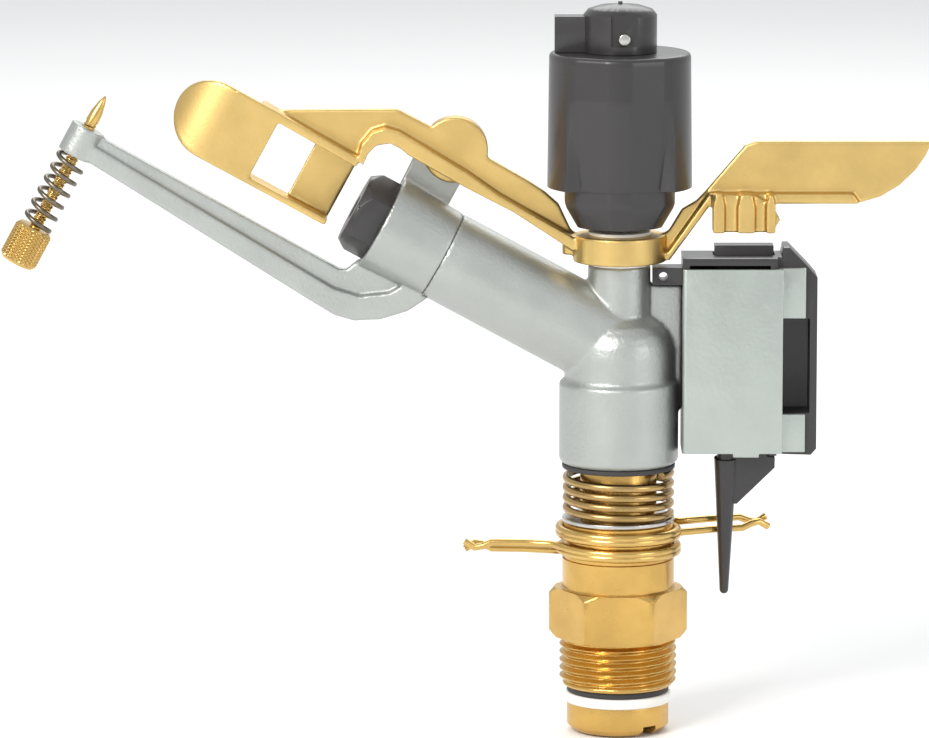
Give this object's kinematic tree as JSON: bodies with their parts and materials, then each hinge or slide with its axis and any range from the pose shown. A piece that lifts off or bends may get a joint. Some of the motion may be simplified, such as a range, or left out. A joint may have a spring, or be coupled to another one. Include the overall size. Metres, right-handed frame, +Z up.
{
  "type": "impact sprinkler",
  "caption": "Part-circle impact sprinkler with a brass drive arm, spring cap, jet breaker and a reversing trip box on a threaded riser inlet.",
  "frame": {"origin": "on the spindle axis at the underside of the hexagon, where the riser thread starts", "axes": "+Z up along the spindle, the nozzle points to -X and up, the reversing box is on the +X side"},
  "size_m": [0.208, 0.0321, 0.165],
  "materials": {
    "brass": "bare, lightly polished",
    "cast_metal": "satin cast",
    "black_plastic": "semi-gloss",
    "white_plastic": "matt",
    "seal_rubber": "matt",
    "steel": "bright",
    "silver_cover": "satin paint"
  },
  "bodies": {
    "bearing": {"bearing_nipple": "brass"},
    "collar_left": {"trip_collar_left": "brass"},
    "collar_right": {"trip_collar_right": "brass"},
    "arm": {"drive_arm": "brass", "hub_bush": "white_plastic"},
    "cap": {"cap_shell": "black_plastic"},
    "trip_lever": {"trip_lever": "black_plastic"},
    "stop": {"reversing_stop": "black_plastic"},
    "screw": {"breaker_screw": "brass"},
    "rotor": {"spindle_tube": "brass", "seal_washer": "seal_rubber", "wear_washer": "white_plastic", "neck_washer": "steel", "bearing_spring": "steel", "spring_seat_washer": "seal_rubber", "body_casting": "cast_metal", "stream_straightener": "white_plastic", "nozzle": "black_plastic", "jet_breaker_bracket": "cast_metal", "breaker_spring": "steel", "fulcrum_pin": "steel", "arm_washer_lower": "white_plastic", "arm_washer_upper": "white_plastic", "arm_spring": "steel", "cap_knob": "black_plastic", "knob_screw": "steel", "box_housing": "black_plastic", "box_cover": "silver_cover", "box_screws": "steel", "trip_pivot_pin": "steel", "toggle_spring": "steel"}
  },
  "joints": [
    {"name": "rotor_turn", "type": "hinge", "parent": "bearing", "child": "rotor", "pos_m": [0, 0, 0], "axis": [0, 0, 1], "range_deg": [-152, 0]},
    {"name": "collar_left_turn", "type": "hinge", "parent": "bearing", "child": "collar_left", "pos_m": [0, 0, 0.02], "axis": [0, 0, 1], "range_deg": [-60, 0]},
    {"name": "collar_right_turn", "type": "hinge", "parent": "bearing", "child": "collar_right", "pos_m": [0, 0, 0.024], "axis": [0, 0, 1], "range_deg": [0, 60]},
    {"name": "arm_swing", "type": "hinge", "parent": "rotor", "child": "arm", "pos_m": [0, 0, 0.088], "axis": [0, 0, 1], "range_deg": [0, 100], "stiffness_Nm_per_rad": 0.03, "springref_deg": -22.92},
    {"name": "cap_turn", "type": "hinge", "parent": "rotor", "child": "cap", "pos_m": [0, 0, 0.12], "axis": [0, 0, 1], "range_deg": [0, 90]},
    {"name": "trip_swing", "type": "hinge", "parent": "rotor", "child": "trip_lever", "pos_m": [0.024, -0.0035, 0.05], "axis": [-1, 0, 0], "range_deg": [0, 17.05]},
    {"name": "stop_lift", "type": "slide", "parent": "rotor", "child": "stop", "axis": [0, 0, 1], "range_m": [0, 0.0045]},
    {"name": "breaker_screw_travel", "type": "slide", "parent": "rotor", "child": "screw", "axis": [0.4772, 0, 0.8788], "range_m": [-0.003, 0.006], "deforming": ["breaker_spring"]}
  ],
  "couplings": [
    {"joint": "trip_swing", "follows": "stop_lift", "rad_per_m": 65.935}
  ]
}
